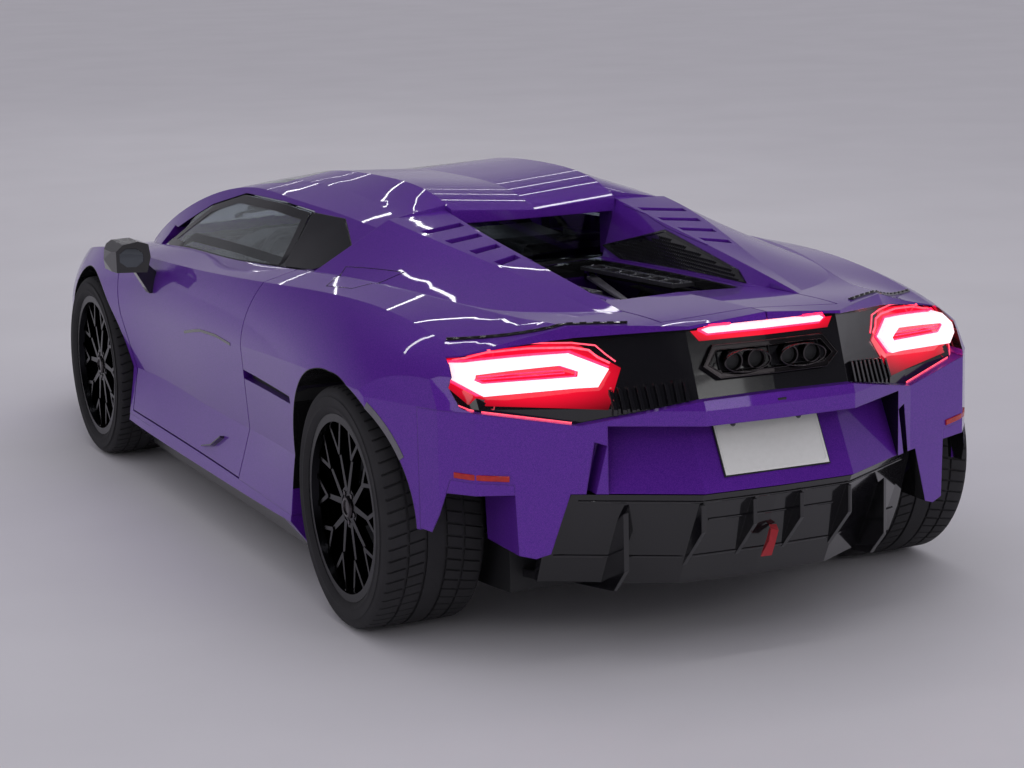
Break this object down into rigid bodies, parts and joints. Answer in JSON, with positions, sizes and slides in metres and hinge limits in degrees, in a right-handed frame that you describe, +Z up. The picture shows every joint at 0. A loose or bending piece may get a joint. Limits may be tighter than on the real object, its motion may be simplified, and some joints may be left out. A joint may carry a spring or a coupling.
{
  "type": "two-seat mid-engined sports car",
  "caption": "Low two-seat mid-engined supercar with an open engine bay between flying buttresses, a high tail with ring lamps, fins and a diffuser; doors, lids, steering and wheels move.",
  "frame": {"origin": "on the ground, under the middle of the car's overall length and width", "axes": "+X to the car's left, -Y to the nose, +Z up"},
  "size_m": [2.196, 4.706, 1.1702],
  "materials": {
    "body_paint": "gloss",
    "black_trim": "gloss",
    "black_satin": "satin",
    "window_glass": "gloss",
    "lamp_lens": "gloss",
    "lamp_red": "gloss",
    "plate_white": "satin",
    "tyre_rubber": "matte",
    "rim_black": "gloss",
    "disc_iron": "satin",
    "bare_aluminium": "satin",
    "steel": "satin",
    "seat_leather": "satin"
  },
  "bodies": {
    "chassis": {"black_trims": "black_trim", "dashboard": "black_satin", "diffuser": "black_trim", "engine": "bare_aluminium", "exhaust_tips": "steel", "floor_pan": "black_satin", "front_bumper": "body_paint", "front_fenders": "body_paint", "front_frame": "black_satin", "front_splitter": "black_trim", "front_suspension": "steel", "headlamps": "lamp_lens", "intake_grilles": "black_satin", "number_plate": "plate_white", "quarter_left": "body_paint", "quarter_right": "body_paint", "rear_bumper": "body_paint", "rear_frame": "black_satin", "rear_suspension": "steel", "rear_window": "window_glass", "roof_frame": "body_paint", "seats": "seat_leather", "side_skirts": "body_paint", "tail_lamps": "lamp_red", "tail_panel": "black_trim", "windscreen": "window_glass"},
    "door_left": {"door_left": "body_paint", "door_glass_left": "window_glass", "mirror_left": "black_trim"},
    "door_right": {"door_right": "body_paint", "door_glass_right": "window_glass", "mirror_right": "black_trim"},
    "front_lid": {"front_lid": "body_paint"},
    "engine_lid": {"engine_lid": "body_paint", "engine_grille": "steel"},
    "front_left_knuckle": {"knuckle_left": "bare_aluminium"},
    "front_right_knuckle": {"knuckle_right": "bare_aluminium"},
    "steering_wheel": {"steering_wheel": "seat_leather"},
    "wheel_front_left": {"tyre_front_left": "tyre_rubber", "rim_front_left": "rim_black", "brake_disc_front_left": "disc_iron"},
    "wheel_front_right": {"tyre_front_right": "tyre_rubber", "rim_front_right": "rim_black", "brake_disc_front_right": "disc_iron"},
    "wheel_rear_left": {"tyre_rear_left": "tyre_rubber", "rim_rear_left": "rim_black", "brake_disc_rear_left": "disc_iron"},
    "wheel_rear_right": {"tyre_rear_right": "tyre_rubber", "rim_rear_right": "rim_black", "brake_disc_rear_right": "disc_iron"}
  },
  "joints": [
    {"name": "steer_left", "type": "hinge", "parent": "chassis", "child": "front_left_knuckle", "pos_m": [0.827, -1.205, 0.343], "axis": [0, 0, 1], "range_deg": [-30, 30]},
    {"name": "steer_right", "type": "hinge", "parent": "chassis", "child": "front_right_knuckle", "pos_m": [-0.827, -1.205, 0.343], "axis": [0, 0, 1], "range_deg": [-30, 30]},
    {"name": "wheel_front_left", "type": "hinge", "parent": "front_left_knuckle", "child": "wheel_front_left", "pos_m": [0.857, -1.205, 0.343], "axis": [1, 0, 0], "continuous": true},
    {"name": "wheel_front_right", "type": "hinge", "parent": "front_right_knuckle", "child": "wheel_front_right", "pos_m": [-0.857, -1.205, 0.343], "axis": [1, 0, 0], "continuous": true},
    {"name": "wheel_rear_left", "type": "hinge", "parent": "chassis", "child": "wheel_rear_left", "pos_m": [0.824, 1.453, 0.364], "axis": [1, 0, 0], "continuous": true},
    {"name": "wheel_rear_right", "type": "hinge", "parent": "chassis", "child": "wheel_rear_right", "pos_m": [-0.824, 1.453, 0.364], "axis": [1, 0, 0], "continuous": true},
    {"name": "door_left", "type": "hinge", "parent": "chassis", "child": "door_left", "pos_m": [0.895, -0.725, 0.485], "axis": [0, 0, -1], "range_deg": [0, 50]},
    {"name": "door_right", "type": "hinge", "parent": "chassis", "child": "door_right", "pos_m": [-0.895, -0.725, 0.485], "axis": [0, 0, 1], "range_deg": [0, 50]},
    {"name": "front_lid", "type": "hinge", "parent": "chassis", "child": "front_lid", "pos_m": [0, -1.171, 0.786], "axis": [-1, 0, 0], "range_deg": [0, 50]},
    {"name": "engine_lid", "type": "hinge", "parent": "chassis", "child": "engine_lid", "pos_m": [0, 0.731, 0.887], "axis": [1, 0, 0], "range_deg": [0, 50]},
    {"name": "steering_wheel", "type": "hinge", "parent": "chassis", "child": "steering_wheel", "pos_m": [0.37, -0.475, 0.757], "axis": [0, 0.9455, 0.3256], "range_deg": [-400, 400]}
  ],
  "couplings": [
    {"joint": "steer_right", "follows": "steer_left", "ratio": 1},
    {"joint": "steering_wheel", "follows": "steer_left", "ratio": 13}
  ]
}
